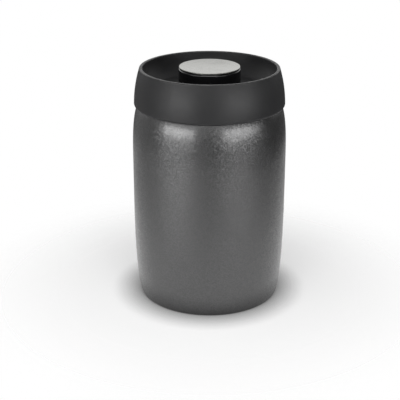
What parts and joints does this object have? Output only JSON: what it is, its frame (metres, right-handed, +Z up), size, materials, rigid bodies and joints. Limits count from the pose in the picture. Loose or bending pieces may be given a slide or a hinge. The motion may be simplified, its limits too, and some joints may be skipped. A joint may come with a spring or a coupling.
{
  "type": "coffee canister",
  "caption": "Round steel coffee canister with a drawn-in shoulder and foot, and a deep-dished lid whose knob presses a sprung vent valve open.",
  "frame": {"origin": "middle of the canister's base, on the surface that it stands on", "axes": "+Z up along the canister's axis of revolution, +X to the right in the picture, -Y towards the viewer"},
  "size_m": [0.11, 0.11, 0.1698],
  "materials": {
    "powder_coat": "fine speckled gunmetal powder coat, satin",
    "bare_steel": "bare stainless steel, brushed round",
    "lid_plastic": "black moulded plastic with a fine satin texture",
    "liner_plastic": "dark grey moulded plastic, semi-matte",
    "knob_plastic": "polished black plastic",
    "disc_metal": "satin grey disc with a bright bevelled edge",
    "silicone": "translucent white silicone, matte",
    "acetal": "natural white acetal",
    "spring_steel": "bright spring wire",
    "screw_steel": "plain stainless screw"
  },
  "bodies": {
    "canister": {"canister_shell": "powder_coat"},
    "lid": {"lid_cover": "lid_plastic", "lid_liner": "liner_plastic", "lid_gasket": "silicone", "stem_bush": "acetal", "valve_spring": "spring_steel", "filter_cap": "liner_plastic", "filter_screen": "bare_steel", "lid_screw_1": "screw_steel", "lid_screw_2": "screw_steel", "lid_screw_3": "screw_steel", "lid_screw_4": "screw_steel", "degassing_valve": "silicone"},
    "valve": {"knob_shell": "knob_plastic", "knob_disc": "disc_metal", "valve_stem": "acetal", "valve_washer": "silicone", "valve_disc": "liner_plastic", "knob_screw": "screw_steel", "valve_screw": "screw_steel"}
  },
  "joints": [
    {"name": "lid_lift", "type": "slide", "parent": "canister", "child": "lid", "axis": [0, 0, 1], "range_m": [0, 0.08]},
    {"name": "valve_press", "type": "slide", "parent": "lid", "child": "valve", "axis": [0, 0, 1], "range_m": [-0.004, 0], "stiffness_N_per_m": 500, "springref_m": 0.01, "deforming": ["valve_spring"]}
  ]
}
